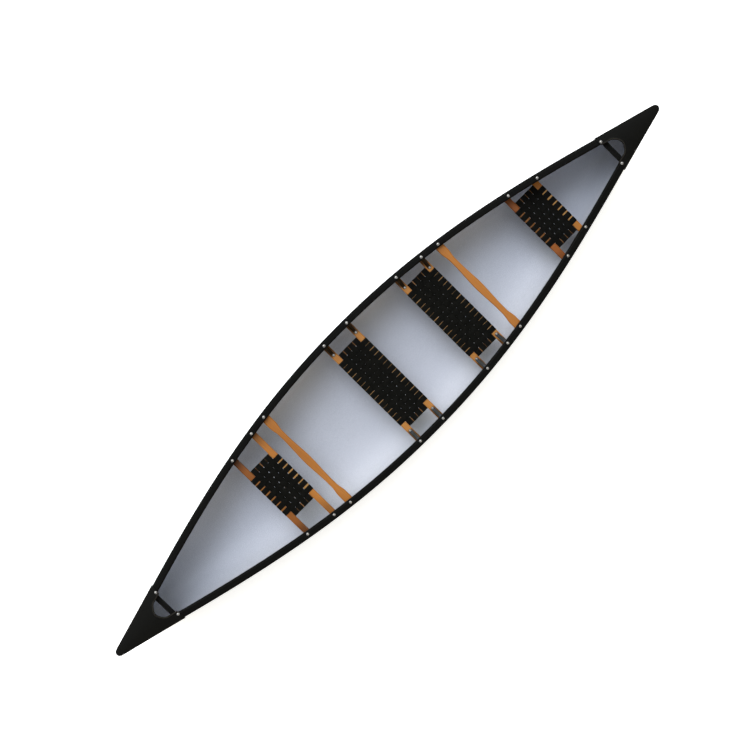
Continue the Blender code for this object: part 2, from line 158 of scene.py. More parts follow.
def hull_section(x, deep):
    """Half of the skin's section at a station, from the keel to the top edge."""
    kx, kz = keel_point(x, deep)
    tx, ty, tz = rim_point(x, deep)
    share = (x / STEM_HEAD) ** 2
    rounding, flatness = (a + share * (b - a) for a, b in (BOTTOM_ROUNDING, BOTTOM_FLATNESS))
    bulge = TUMBLEHOME * min(1.0, ty / TUMBLEHOME_FULL_WIDTH)
    shoulder = tz - min(GUNWALE_DEPTH - SLOT_TOP, SHOULDER_SHARE * (tz - kz))
    rise = np.linspace(0, 1, SECTION_SAMPLES) ** 3
    width = ty * (1 - (1 - rise) ** rounding) ** (1 / flatness) + bulge * BULGE_TO_ONE * rise * (1 - rise) ** 2
    height = kz + (shoulder - kz) * rise
    run = np.concatenate([[0], np.cumsum(np.hypot(np.diff(width), np.diff(height)))])
    even = np.interp(np.linspace(0, run[-1], HULL_LEVELS), run, rise)
    points = [(kx + (tx - kx) * v, float(np.interp(v, rise, width)), kz + (shoulder - kz) * v) for v in even]
    return points + [(tx, ty, tz)]


def add_quads(shape, first, second):
    """Joins two rows of points with faces."""
    for left, right in zip(zip(first, first[1:]), zip(second, second[1:])):
        shape.faces.new((left[0], left[1], right[1], right[0]))


def shaded(mesh, sharp_angle=SHARP_ANGLE):
    """The mesh with smooth faces, but for edges that are sharper than this many degrees."""
    mesh.shade_smooth()
    mesh.set_sharp_from_angle(angle=math.radians(sharp_angle))
    return mesh


def closed_mesh(shape, sharp_angle=SHARP_ANGLE):
    """The shape as a mesh, its seams merged and its faces turned outwards."""
    bmesh.ops.remove_doubles(shape, verts=shape.verts, dist=MERGED)
    bmesh.ops.dissolve_degenerate(shape, edges=shape.edges, dist=DEGENERATE)
    bmesh.ops.recalc_face_normals(shape, faces=shape.faces)
    mesh = bpy.data.meshes.new("closed")
    shape.to_mesh(mesh)
    shape.free()
    return shaded(mesh, sharp_angle)


def add_object(name, data):
    item = bpy.data.objects.new(name, data)
    bpy.context.scene.collection.objects.link(item)
    return item


def keep_piece(name, mesh, material, slot, *nodes):
    """Puts a finished mesh in the scene; it rides on the canoe and stands for these nodes."""
    mesh.name = name
    mesh.materials.clear()
    mesh.materials.append(material)
    piece = add_object(name, mesh)
    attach(piece, "root")
    if nodes:
        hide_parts(*nodes)


def hull_shell(outer, inner):
    """A closed shell between two depths of the laminate."""
    shape = bmesh.new()
    for end in (1, -1):
        for side in (1, -1):
            edges = []
            for deep in (outer, inner):
                sections = [hull_section(x, deep) for x in HULL_STATIONS]
                rows = [[shape.verts.new((end * x, side * y, z)) for x, y, z in row] for row in sections]
                for first, second in zip(rows, rows[1:]):
                    add_quads(shape, first, second)
                edges.append([row[-1] for row in rows])
            add_quads(shape, *edges)
    bmesh.ops.remove_doubles(shape, verts=shape.verts, dist=SEAM)
    return closed_mesh(shape)


def new_material(name):
    """A material with its node tree, its shader, and the place on the object in metres."""
    material = bpy.data.materials.new(name)
    material.use_nodes = True
    tree = material.node_tree
    place = tree.nodes.new("ShaderNodeTexCoord").outputs["Object"]
    return material, tree, tree.nodes["Principled BSDF"], place


def set_inputs(tree, node, inputs):
    """Gives a node its inputs, each a value or another node's output."""
    for key, value in inputs.items():
        if isinstance(value, bpy.types.NodeSocket):
            tree.links.new(value, node.inputs[key])
        else:
            node.inputs[key].default_value = value


def add_node(tree, kind, inputs, **settings):
    """The outputs of a new node with these inputs and settings."""
    node = tree.nodes.new(kind)
    for key, value in settings.items():
        setattr(node, key, value)
    set_inputs(tree, node, inputs)
    return node.outputs


def stretched(tree, place, scale, turn=0.0):
    """The place, stretched by three factors, for a pattern that runs along one direction."""
    return add_node(tree, "ShaderNodeMapping", {"Vector": place, "Scale": scale, "Rotation": (0.0, 0.0, turn)})[0]


def speckle(tree, place, scale, detail=4.0, roughness=0.6):
    """A noise between 0 and 1, with this many patches to the metre."""
    inputs = {"Vector": place, "Scale": scale, "Detail": detail, "Roughness": roughness}
    return add_node(tree, "ShaderNodeTexNoise", inputs)["Fac"]


def spread(tree, value, low, high, to_low=0.0, to_high=1.0):
    """The part of a value between low and high, spread over another range."""
    return add_node(tree, "ShaderNodeMapRange", {0: value, 1: low, 2: high, 3: to_low, 4: to_high})[0]


def rough_between(tree, pattern, low, high):
    """A roughness from low to high that follows a pattern, most of which lies between 0.3 and 0.7."""
    return spread(tree, pattern, 0.3, 0.7, low, high)


def blended(tree, share, first, second, blend_type="MIX"):
    """Two colours mixed by a share."""
    colors = [c if isinstance(c, bpy.types.NodeSocket) else (*c, 1.0) for c in (first, second)]
    inputs = {0: share, 6: colors[0], 7: colors[1]}
    return add_node(tree, "ShaderNodeMix", inputs, data_type="RGBA", blend_type=blend_type)[2]


def arithmetic(tree, operation, first, second=0.0):
    return add_node(tree, "ShaderNodeMath", {0: first, 1: second}, operation=operation)[0]


def relief(tree, height, distance, strength):
    """The surface's direction from a height, in metres of depth."""
    return add_node(tree, "ShaderNodeBump", {"Height": height, "Distance": distance, "Strength": strength})[0]


def hull_green():
    material, tree, shader, place = new_material("hull_green_vinyl")
    height = add_node(tree, "ShaderNodeSeparateXYZ", {0: place})["Z"]
    color = blended(tree, speckle(tree, place, 3.0), *GREENS)
    scratches = speckle(tree, stretched(tree, place, (2.2, 260.0, 260.0), 0.05), 1.0, 3.0)
    low_down = spread(tree, height, 0.16, 0.0)
    worn = arithmetic(tree, "MULTIPLY", spread(tree, scratches, 0.64, 0.72), low_down)
    color = blended(tree, arithmetic(tree, "MULTIPLY", worn, 0.45), color, SCUFFED_GREEN)
    rough = rough_between(tree, speckle(tree, place, 14.0), 0.36, 0.46)
    rough = arithmetic(tree, "ADD", rough, arithmetic(tree, "MULTIPLY", worn, 0.25))
    peel = relief(tree, speckle(tree, place, 90.0, 1.0), 0.0004, 0.06)
    set_inputs(tree, shader, {"Base Color": color, "Roughness": rough, "Specular IOR Level": 0.26, "Normal": peel})
    return material


def hull_grey():
    material, tree, shader, place = new_material("hull_grey_lining")
    color = blended(tree, speckle(tree, place, 5.0, 3.0), *GREYS)
    grains = speckle(tree, place, 520.0, 5.0, 0.75)
    color = blended(tree, spread(tree, grains, 0.52, 0.66), color, PALE_GRAIN)
    color = blended(tree, spread(tree, grains, 0.46, 0.33), color, DARK_GRAIN)
    coarse = speckle(tree, place, 130.0, 3.0, 0.7)
    color = blended(tree, spread(tree, coarse, 0.56, 0.70, 0.0, 0.42), color, PALE_SPECKLE)
    rough = rough_between(tree, coarse, 0.48, 0.60)
    set_inputs(tree, shader, {"Base Color": color, "Roughness": rough, "Normal": relief(tree, grains, 0.0004, 0.5)})
    return material


keep_piece("hull_skin", hull_shell(0.0, LINING_FROM), hull_green(), "hull_laminate", "hull")
keep_piece("hull_lining", hull_shell(LINING_FROM, 1.0), hull_grey(), "hull_lining", "hull")


# The gunwales are black vinyl extrusions pushed down over the skin's edge, one to a side from deck to deck:
# a narrow lip outside, a wide flange inside that carries everything, and a crowned top with two fine
# grooves beside the line of bolts.
SIDES = (("port", 1), ("starboard", -1))
GUNWALE_INNER = 0.0320
GUNWALE_STEPS = 201
GUNWALE_SLOT_PLAY = 0.0002
TOP_ROUND = 0.0065
TOP_ROUND_DROP = 0.0012
CROWN_FROM = (0.0110, 0.0004)
LIP_ROUND = 0.003
GROOVE_DEPTH = 0.0006
GROOVE_HALF = 0.0009
TOP_GROOVES = (0.0, 0.0228)
SIDE_GROOVE = 0.0165
VINYL_BLACKS = {
    "extruded": ((0.0014, 0.0014, 0.0011), (0.0034, 0.0034, 0.0028)),
    "moulded": ((0.0026, 0.0026, 0.0020), (0.0052, 0.0052, 0.0043)),
}
# A lighter black for the crest of the hand-hold's bead: rubbed wear and a painted highlight.
WORN_AND_LIT_BLACK = (0.024, 0.022, 0.019)


def round_off(u, v, cut_u, cut_v, turns):
    """Points of an arc that rounds off the corner u, v by these cuts."""
    return [(u + cut_u * (1 - math.cos(turn)), v + cut_v * (1 - math.sin(turn))) for turn in turns]


def gunwale_outline():
    """The extrusion's section as places inboard of the skin's middle and down from the top."""
    out, inn, deep = -GUNWALE_OUTER, GUNWALE_INNER, GUNWALE_DEPTH
    slot = SKIN / 2 + GUNWALE_SLOT_PLAY
    outline = [(out, SIDE_GROOVE + GROOVE_HALF), (out + GROOVE_DEPTH, SIDE_GROOVE), (out, SIDE_GROOVE - GROOVE_HALF)]
    outline += round_off(out, TOP_ROUND_DROP, TOP_ROUND, TOP_ROUND, np.linspace(0, QUARTER, 7))
    outline += [(out + CROWN_FROM[0], CROWN_FROM[1])]
    for groove in TOP_GROOVES:
        outline += [(groove - GROOVE_HALF, 0.0), (groove, GROOVE_DEPTH), (groove + GROOVE_HALF, 0.0)]
    outline += round_off(inn, TOP_ROUND_DROP, -TOP_ROUND, TOP_ROUND, np.linspace(QUARTER, 0, 7))
    outline += round_off(inn, deep, -LIP_ROUND, -LIP_ROUND, np.linspace(0, QUARTER, 5))
    outline += [(slot, deep), (slot, SLOT_TOP), (-slot, SLOT_TOP), (-slot, deep)]
    return outline + round_off(out, deep, LIP_ROUND, -LIP_ROUND, np.linspace(QUARTER, 0, 5))


def new_tree(name, sizes):
    """A geometry node tree with a named input for each size and finish."""
    tree = bpy.data.node_groups.new(name, "GeometryNodeTree")
    tree.interface.new_socket("Geometry", in_out="INPUT", socket_type="NodeSocketGeometry")
    for label, value in {**sizes, "Finish": None}.items():
        kind = "NodeSocketMaterial" if value is None else "NodeSocketFloat"
        socket = tree.interface.new_socket(label, in_out="INPUT", socket_type=kind)
        if value is not None:
            socket.default_value = value
    tree.interface.new_socket("Geometry", in_out="OUTPUT", socket_type="NodeSocketGeometry")
    return tree, tree.nodes.new("NodeGroupInput").outputs


def close_tree(tree, given, geometry):
    """Ends a tree: real instances, one finish."""
    real = add_node(tree, "GeometryNodeRealizeInstances", {"Geometry": geometry})[0]
    done = add_node(tree, "GeometryNodeSetMaterial", {"Geometry": real, "Material": given["Finish"]})[0]
    tree.links.new(done, tree.nodes.new("NodeGroupOutput").inputs["Geometry"])
    return tree


def plain_mesh(points, edges=(), faces=()):
    mesh = bpy.data.meshes.new("drawn")
    mesh.from_pydata(points, edges, faces)
    return mesh


def grow(mesh, tree, sizes):
    """Runs a tree on a mesh of points or paths, and returns the plain mesh that comes of it."""
    carrier = add_object("carrier", mesh)
    modifier = carrier.modifiers.new(tree.name, "NODES")
    modifier.node_group = tree
    for socket in tree.interface.items_tree:
        if socket.in_out == "INPUT" and socket.name in sizes:
            modifier[socket.identifier] = sizes[socket.name]
    bpy.context.view_layer.update()
    depsgraph = bpy.context.evaluated_depsgraph_get()
    evaluated = carrier.evaluated_get(depsgraph)
    grown = bpy.data.meshes.new_from_object(evaluated, preserve_all_data_layers=True, depsgraph=depsgraph)
    bpy.data.objects.remove(carrier)
    return grown


def tidied(mesh, sharp_angle):
    """The mesh with its seams merged and its faces turned outwards."""
    shape = bmesh.new()
    shape.from_mesh(mesh)
    return closed_mesh(shape, sharp_angle)


def extrusion_tree():
    """Sweeps the part of the mesh that is marked as section along the part that isn't."""
    tree, given = new_tree("extrusion_along_path", {"Section scale": 1.0})
    marked = add_node(tree, "GeometryNodeInputNamedAttribute", {"Name": "section"}, data_type="BOOLEAN")["Attribute"]
    whole = {"Geometry": given["Geometry"], "Selection": marked}
    parted = add_node(tree, "GeometryNodeSeparateGeometry", whole, domain="POINT")
    section = add_node(tree, "GeometryNodeMeshToCurve", {0: parted["Selection"]})[0]
    path = add_node(tree, "GeometryNodeMeshToCurve", {0: parted["Inverted"]})[0]
    upright = add_node(tree, "GeometryNodeSetCurveNormal", {"Curve": path}, mode="Z_UP")[0]
    swept = {"Curve": upright, "Profile Curve": section, "Scale": given["Section scale"], "Fill Caps": True}
    return close_tree(tree, given, add_node(tree, "GeometryNodeCurveToMesh", swept)[0])


def path_and_section(path, outline):
    """A mesh of edges: an open path, and a closed outline marked as section."""
    start = len(path)
    edges = [(i, i + 1) for i in range(start - 1)]
    edges += [(start + i, start + (i + 1) % len(outline)) for i in range(len(outline))]
    mesh = plain_mesh(path + [(u, v, 0.0) for u, v in outline], edges)
    marks = mesh.attributes.new("section", "BOOLEAN", "POINT")
    marks.data.foreach_set("value", [False] * start + [True] * len(outline))
    return mesh


def black_vinyl(name, making):
    """Black plastic, satin. Extruded pieces have fine lines along them, and moulded ones a pebble grain and a lighter
    crest on the hand-hold's bead, partly rubbed wear and partly a painted highlight.
    """
    material, tree, shader, place = new_material(name)
    tone = speckle(tree, place, 6.0, 3.0)
    color = blended(tree, tone, *VINYL_BLACKS[making])
    if making == "extruded":
        lines = speckle(tree, stretched(tree, place, (6.0, 700.0, 700.0)), 1.0, 3.0)
        rough = rough_between(tree, lines, 0.42, 0.54)
        grain = relief(tree, lines, 0.0003, 0.35)
    else:
        # The bead's crest is lighter: partly rubbed wear, partly a painted highlight.
        wear_and_highlight = add_node(tree, "ShaderNodeAttribute", {}, attribute_name="wear_and_highlight")["Fac"]
        color = blended(tree, wear_and_highlight, color, WORN_AND_LIT_BLACK)
        rough = rough_between(tree, tone, 0.46, 0.56)
        pebbles = add_node(tree, "ShaderNodeTexVoronoi", {"Vector": place, "Scale": 620.0}, feature="SMOOTH_F1")
        grain = relief(tree, pebbles["Distance"], 0.0006, 0.5)
    set_inputs(tree, shader, {"Base Color": color, "Roughness": rough, "Specular IOR Level": 0.05, "Normal": grain})
    return material


extrusion = extrusion_tree()
extruded_vinyl = black_vinyl("gunwale_black_vinyl", "extruded")
for place, side in SIDES:
    path = []
    for x in np.linspace(-GUNWALE_END, GUNWALE_END, GUNWALE_STEPS):
        px, py, pz = edge_point(abs(x), 0.0)
        path.append((side * math.copysign(px, x), side * py, pz))
    drawn = path_and_section(path, gunwale_outline())
    mesh = tidied(grow(drawn, extrusion, {"Section scale": 1.0, "Finish": extruded_vinyl}), 30)
    keep_piece(f"gunwale_{place}_extrusion", mesh, extruded_vinyl, "gunwale_vinyl", f"gunwale_{place}")


# The decks are moulded black caps over the ends of the gunwales, with a pebble grain, a skirt round the
# outside, and a D-shaped hand-hold between two ears, whose edge is turned up into a small bead. For each
# deck: its end, how far from the middle its ears begin, and the near edge of its carrying handle.
DECK_NOSE = 2.515
DECK_EDGE_HALF = 0.1536
DECK_EDGE_X = 2.064
DECK_TAPER = 0.290
DECK_NOSE_RADIUS = 0.0285
DECK_WALL = 0.0035
DECK_CROWN = 0.07
DECK_SKIRT = 0.018
SKIRT_FROM = 0.004
SKIRT_STEP = 0.0001
EDGE_RADIUS = 0.0035
HANDLE_LENGTH = 0.034
HAND_HOLE_HALF = 0.064
HAND_HOLE_DEPTH = 0.050
HAND_HOLE_CURVE = (1.7, 1.45)
BEAD_HEIGHT = 0.0045
BEAD_WIDTH = 0.0105
BEAD_FULLNESS = 0.8
BEAD_BELOW = 0.6
BEAD_CREST = 0.45
BEAD_STEPS = (0.0, 0.0009, 0.0021, 0.0036, 0.0052, 0.0068, 0.0084, 0.0098, 0.0112, 0.0140)
PAST_BEAD = 0.02
DECKS = {"bow": (1, 2.060, 2.084), "stern": (-1, 2.0935, 2.1135)}


def deck_half(x):
    """Half width of a deck moulding, whose edges are straight."""
    return DECK_EDGE_HALF - DECK_TAPER * (x - DECK_EDGE_X)


def from_hole(x, y, hole_start):
    """Rough distance outside the hand-hold's edge, on which u ** long + v ** wide is 1."""
    if x <= hole_start:
        return y - HAND_HOLE_HALF - DECK_TAPER * (hole_start - x)
    long, wide = HAND_HOLE_CURVE
    u, v = (x - hole_start) / HAND_HOLE_DEPTH, y / HAND_HOLE_HALF
    slope = math.hypot(long * u ** (long - 1) / HAND_HOLE_DEPTH, wide * v ** (wide - 1) / HAND_HOLE_HALF)
    return (u**long + v**wide - 1) / slope


def deck_rows(ear_end, hole_start):
    """Half of a deck as rows of top and underside points, each from its inner edge to the skirt's lip."""
    lean = math.atan(DECK_TAPER)
    apex = hole_start + HAND_HOLE_DEPTH
    nose = DECK_NOSE - DECK_NOSE_RADIUS
    edge = [(x, HAND_HOLE_HALF + DECK_TAPER * (hole_start - x)) for x in np.linspace(ear_end, hole_start, 14)]
    for share in np.sin(np.linspace(0, QUARTER, 30))[1:]:
        narrowed = max(1 - share ** HAND_HOLE_CURVE[0], 0.0) ** (1 / HAND_HOLE_CURVE[1])
        edge.append((hole_start + HAND_HOLE_DEPTH * share, HAND_HOLE_HALF * narrowed))
    edge += [(apex + step, 0.0) for step in BEAD_STEPS[1:]]
    edge += [(x, 0.0) for x in np.linspace(apex + PAST_BEAD, nose, 26)[:-1]]
    stations = [((x, inner), (x, deck_half(x)), (math.sin(lean), math.cos(lean))) for x, inner in edge]
    for turn in np.linspace(QUARTER - lean, 0, 14):
        across = (math.cos(turn), 0.0 if turn == 0 else math.sin(turn))
        stations.append(((nose, 0.0), (nose + DECK_NOSE_RADIUS * across[0], DECK_NOSE_RADIUS * across[1]), across))

    def surface(x, y):
        half = max(deck_half(min(x, nose)), DECK_NOSE_RADIUS)
        return sheer(x) + SEAT_GAP + DECK_CROWN * half * max(0.0, 1 - (y / half) ** 2)

    rows = []
    for inner, outer, outwards in stations:
        reach = math.hypot(outer[0] - inner[0], outer[1] - inner[1])
        places = list(BEAD_STEPS) + list(np.linspace(BEAD_STEPS[-1], reach - EDGE_RADIUS, 12)[1:])

        def plan(place, back=0.0):
            x, y = (a + place / reach * (b - a) - back * out for a, b, out in zip(inner, outer, outwards))
            return x, max(y, 0.0)

        inside = plan(reach, DECK_WALL)
        top, below = [], []
        for place in places:
            x, y = plan(place)
            away = min(max(from_hole(x, y, hole_start) / BEAD_WIDTH, 0.0), 1.0)
            bead = BEAD_HEIGHT * math.sin(math.pi * away) ** BEAD_FULLNESS
            top.append((x, y, surface(x, y) + DECK_WALL + bead))
            below.append((x, y, surface(x, y) + BEAD_BELOW * bead))
        for turn in np.linspace(0, QUARTER, 5)[1:]:
            x, y = plan(reach, EDGE_RADIUS * (1 - math.sin(turn)))
            top.append((x, y, surface(x, y) + DECK_WALL - EDGE_RADIUS * (1 - math.cos(turn))))
            below.append((*inside, surface(*inside) - SKIRT_STEP))
        for down in np.linspace(SKIRT_FROM, DECK_SKIRT, 4):
            top.append((*plan(reach), sheer(outer[0]) - down))
            below.append((*inside, sheer(outer[0]) - down))
        rows.append((top, below, inner[1] > 0.0))
    return rows


moulded_vinyl = black_vinyl("deck_black_moulding", "moulded")
for place, (end, ear_end, handle_near) in DECKS.items():
    shape = bmesh.new()
    wear_and_highlight = shape.verts.layers.float.new("wear_and_highlight")
    hole_start = handle_near + HANDLE_LENGTH
    for side in (1, -1):
        made = []
        for top, below, open_inside in deck_rows(ear_end, hole_start):
            lines = [[shape.verts.new((end * x, side * y, z)) for x, y, z in line] for line in (top, below)]
            # Marks the crest of the bead for the lighter colour of rubbed wear and painted highlight.
            for corner, (x, y, _) in zip(lines[0], top):
                off_crest = abs(from_hole(x, y, hole_start) / BEAD_WIDTH - BEAD_CREST)
                corner[wear_and_highlight] = max(1 - off_crest / BEAD_CREST, 0.0)
            made.append((*lines, open_inside))
        for (top, below, open_inside), (next_top, next_below, _) in zip(made, made[1:]):
            add_quads(shape, top, next_top)
            add_quads(shape, below, next_below)
            add_quads(shape, [top[-1], below[-1]], [next_top[-1], next_below[-1]])
            if open_inside:
                add_quads(shape, [top[0], below[0]], [next_top[0], next_below[0]])
        add_quads(shape, made[0][0], made[0][1])
    bmesh.ops.remove_doubles(shape, verts=shape.verts, dist=SEAM)
    keep_piece(f"{place}_deck_cap", closed_mesh(shape), moulded_vinyl, "deck_moulding", f"{place}_deck")


# The carrying handles are straight moulded bars across each hand-hold, with a ridge along the middle for
# the fingers and a pad at each end that is bolted up under the gunwale with the deck.
WALL_CLEARANCE = 0.002
HANDLE_THICKNESS = 0.016
HANDLE_ROUND = 0.0045
HANDLE_PAD_START = 0.80
HANDLE_PAD_FLARE = 0.04
HANDLE_STATIONS = np.concatenate([np.linspace(0, 0.66, 12), np.linspace(0.68, 0.90, 16), [1.0]])
HANDLE_RIDGE = 0.0022
RIDGE_HALF = 0.007
RIDGE_END = 0.78
RIDGE_FADE = 0.10
RIDGE_LEAST = 1e-6


def flange_height(x):
    """Height of the gunwale's underside along the line of bolts."""
    return sheer(x) - GUNWALE_DEPTH


def bar_end(x, z):
    """Half width that a bar has between the hull's walls at this place."""
    _, widths, heights = zip(*hull_section(abs(x), 1.0))
    top = skin_half(x) - (SKIN / 2 + WALL_CLEARANCE) / plan_normal(abs(x))[1]
    return min(top, float(np.interp(z, heights, widths)) - WALL_CLEARANCE)


def share_between(value, start, end):
    """How far a value is from start to end, as a share."""
    return min(max((value - start) / (end - start), 0.0), 1.0)


def rounded_outline(low, high, thickness, corner, ridge=0.0):
    """A bar's section as places across it and depths below its top, with round corners and a ridge on top."""
    outline = []
    for mid_across, mid_down, start in (
        (high - corner, corner, 0),
        (low + corner, corner, 1),
        (low + corner, thickness - corner, 2),
        (high - corner, thickness - corner, 3),
    ):
        for turn in np.linspace(start, start + 1, 6) * QUARTER:
            outline.append((mid_across + corner * math.cos(turn), mid_down - corner * math.sin(turn)))
        if start == 0 and ridge:
            for share in np.linspace(1, -1, 9)[1:-1]:
                outline.append(((low + high) / 2 + RIDGE_HALF * share, -ridge * math.cos(QUARTER * share) ** 2))
    return outline


def solid_through(rings):
    """A solid through rings of points, capped at both ends."""
    shape = bmesh.new()
    rings = [[shape.verts.new(point) for point in ring] for ring in rings]
    for first, second in zip(rings, rings[1:]):
        add_quads(shape, first + first[:1], second + second[:1])
    shape.faces.new(rings[0])
    shape.faces.new(rings[-1])
    return closed_mesh(shape)


def crosswise_bar(shares, outline_at, top_at):
    """A bar from wall to wall, through its sections at shares of its half width."""
    rings = []
    for share in shares:
        ring = [(x, top_at(x) - drop) for x, drop in outline_at(share)]
        rings.append([(x, share * bar_end(x, z), z) for x, z in ring])
    return solid_through(rings)


for place, (end, ear_end, near) in DECKS.items():

    def handle_outline(share):
        flare = HANDLE_PAD_FLARE / 2
        widening = share_between(abs(share), HANDLE_PAD_START - flare, HANDLE_PAD_START + flare)
        low = near + (ear_end - near) * widening
        ridge = HANDLE_RIDGE * share_between(-abs(share), -RIDGE_END, RIDGE_FADE - RIDGE_END) + RIDGE_LEAST
        across = rounded_outline(low, near + HANDLE_LENGTH, HANDLE_THICKNESS, HANDLE_ROUND, ridge)
        return [(end * x, down) for x, down in across]

    shares = np.concatenate([-HANDLE_STATIONS[::-1], HANDLE_STATIONS[1:]])
    bar = crosswise_bar(shares, handle_outline, lambda x: flange_height(x) - 2 * SEAT_GAP)
    keep_piece(f"{place}_carrying_bar", bar, moulded_vinyl, "deck_moulding", f"{place}_handle")


# The thwarts are ash bars bolted up under the gunwales, sawn with a waist each side of a fuller middle and
# flared at their ends, their edges rounded over and oiled to an amber colour.
THWART_THICKNESS = 0.019
THWART_ROUND = 0.0055
THWART_WAIST_HALF = 0.020
THWART_BELLY_HALF = 0.028
THWART_END_HALF = 0.030
THWART_WAIST_AT = 0.208
THWART_FLARE = (0.25, 0.33)
THWART_SECTIONS = 81
THWARTS = {"bow_thwart": 0.760, "stern_thwart": -0.883}
UNCHANGED = (1.0, 1.0, 1.0)
DARK_ASH, PLAIN_ASH = (0.335, 0.138, 0.028), (0.430, 0.186, 0.043)
RING_ASH, PALE_ASH, PORE_ASH = (0.205, 0.072, 0.012), (0.480, 0.225, 0.062), (0.150, 0.050, 0.010)


def oiled_ash(name, turn, tint, shade_changes=()):
    """Ash with its rings and pores along one direction; turn brings that direction onto X. The changes are painted
    shade: each gives from and to how far off the middle, and what the colour is times there."""
    dark, plain, ring, pale, pore = (
        tuple(part * share for part, share in zip(color, tint))
        for color in (DARK_ASH, PLAIN_ASH, RING_ASH, PALE_ASH, PORE_ASH)
    )
    material, tree, shader, place = new_material(name)
    board = stretched(tree, place, UNCHANGED, turn)
    warp = speckle(tree, stretched(tree, board, (2.5, 14.0, 14.0)), 1.0, 2.0)
    bands = {"Vector": stretched(tree, board, (2.0, 34.0, 34.0)), "Scale": 1.0, "Distortion": 7.0}
    bands |= {"Detail": 3.0, "Detail Scale": 1.6}
    drawn = {"wave_type": "BANDS", "bands_direction": "Y", "wave_profile": "SAW"}
    rings = add_node(tree, "ShaderNodeTexWave", bands, **drawn)["Fac"]
    pores = speckle(tree, stretched(tree, board, (26.0, 1500.0, 1500.0)), 1.0, 2.0)
    tone = speckle(tree, stretched(tree, place, (3.1, 1.1, 3.0)), 1.0, 1.0)
    color = blended(tree, spread(tree, tone, 0.35, 0.65), dark, plain)
    color = blended(tree, arithmetic(tree, "MULTIPLY", rings, 0.42), color, ring)
    color = blended(tree, spread(tree, warp, 0.35, 0.75, 0.0, 0.30), color, pale)
    color = blended(tree, spread(tree, pores, 0.58, 0.74, 0.0, 0.45), color, pore)
    off_middle = arithmetic(tree, "ABSOLUTE", add_node(tree, "ShaderNodeSeparateXYZ", {0: place})["Y"])
    for begin, end, before, after in shade_changes:
        shade_change = blended(tree, spread(tree, off_middle, begin, end), before, after)
        color = blended(tree, 1.0, color, shade_change, "MULTIPLY")
    rough = rough_between(tree, pores, 0.36, 0.50)
    grain = relief(tree, pores, 0.0004, 0.5)
    set_inputs(tree, shader, {"Base Color": color, "Roughness": rough, "Specular IOR Level": 0.20, "Normal": grain})
    return material


def thwart_top(middle):
    """Height of a thwart's top, which touches the lower edge of the sloping gunwale over it."""
    return min(flange_height(abs(middle) + edge) for edge in (-THWART_END_HALF, THWART_END_HALF)) - SEAT_GAP


thwart_ash = oiled_ash("thwart_ash", -QUARTER, (0.87, 0.77, 0.58))
for thwart, middle in THWARTS.items():
    reach = bar_end(middle, flange_height(middle))

    def thwart_outline(share):
        away = abs(share) * reach
        belly = math.cos(QUARTER * min(away / THWART_WAIST_AT, 1.0)) ** 2
        flare = share_between(away, *THWART_FLARE)
        half = THWART_WAIST_HALF + (THWART_BELLY_HALF - THWART_WAIST_HALF) * belly
        half += (THWART_END_HALF - THWART_WAIST_HALF) * flare * flare * (3 - 2 * flare)
        return rounded_outline(middle - half, middle + half, THWART_THICKNESS, THWART_ROUND)

    bar = crosswise_bar(np.linspace(-1, 1, THWART_SECTIONS), thwart_outline, lambda _: thwart_top(middle))
    keep_piece(f"{thwart}_bar", bar, thwart_ash, "ash_wood", thwart)


# Each seat is an ash frame: two rails from wall to wall, hung from the gunwales, and two cross-pieces
# dowelled between them. For each: its middle, the rails' depth under the gunwale's top, the number and
# pitch of its fore-and-aft strips, half its width over the crosswise strips, and what it hangs on.
RAIL_SPACING = 0.216
RAIL_WIDTH = 0.044
RAIL_THICKNESS = 0.021
RAIL_ROUND = 0.0040
RAIL_SECTIONS = 9
CROSS_WIDTH = 0.038
CROSS_ROUND = 0.0035
CLOTH = 0.0035
RAILS = (("fore", RAIL_SPACING / 2), ("aft", -RAIL_SPACING / 2))
SEATS = {
    "bow_seat": (1.0045, 0.047, 7, 0.0488, 0.216, "spacer"),
    "middle_fore_seat": (0.0295, 0.086, 14, 0.0426, 0.345, "strap"),
    "middle_aft_seat": (-0.6355, 0.086, 14, 0.0426, 0.345, "strap"),
    "stern_seat": (-1.5470, 0.115, 7, 0.0488, 0.216, "spacer"),
}
WEB_EDGE_SHARPNESS = 0.002


def rail_ash(tone, tint, web_edge, shade_under_web, end_from, end_to, end_shade):
    """Ash of a seat's rail with painted shade: greyer and bluer over the webbed span, where the gaps between the strips
    lie in shade, and darker towards both ends, in the gunwales' shade.
    """
    between = (web_edge - WEB_EDGE_SHARPNESS, web_edge + WEB_EDGE_SHARPNESS, shade_under_web, UNCHANGED)
    ends = (end_from, end_to, UNCHANGED, (end_shade,) * 3)
    return oiled_ash(f"{tone}_rail_ash", -QUARTER, tint, (between, ends))


# For each rail ash: its tint, the edge of the webbed span and the painted shade over it, and where the painted shade of
# its ends begins, where it ends and how dark it gets.
pale_ash = rail_ash("pale", (0.98, 0.98, 0.93), 0.296, (0.74, 0.98, 1.75), 0.350, 0.372, 0.40)
amber_ash = rail_ash("amber", (0.95, 0.86, 0.66), 0.165, (0.91, 1.25, 2.20), 0.250, 0.320, 0.70)
red_ash = rail_ash("red", (0.68, 0.49, 0.35), 0.165, (0.70, 0.95, 1.44), 0.215, 0.250, 0.70)
shade_brown_ash = rail_ash("brown", (0.54, 0.41, 0.25), 0.165, (0.98, 1.18, 1.60), 0.235, 0.310, 0.50)
# The cross-pieces' ash is dimmed and made less orange as painted shade, since only the shaded gaps between the
# crosswise strips show of it.
shaded_cross_ash = oiled_ash("cross_bar_ash", 0.0, (0.50, 0.56, 0.85))
# The bow seat's fore rail gets the darker brown ash, with the darkest ends, as painted shade.
RAIL_ASH = {
    "bow_seat_fore": shade_brown_ash,
    "bow_seat_aft": amber_ash,
    "stern_seat_fore": red_ash,
    "stern_seat_aft": amber_ash,
}

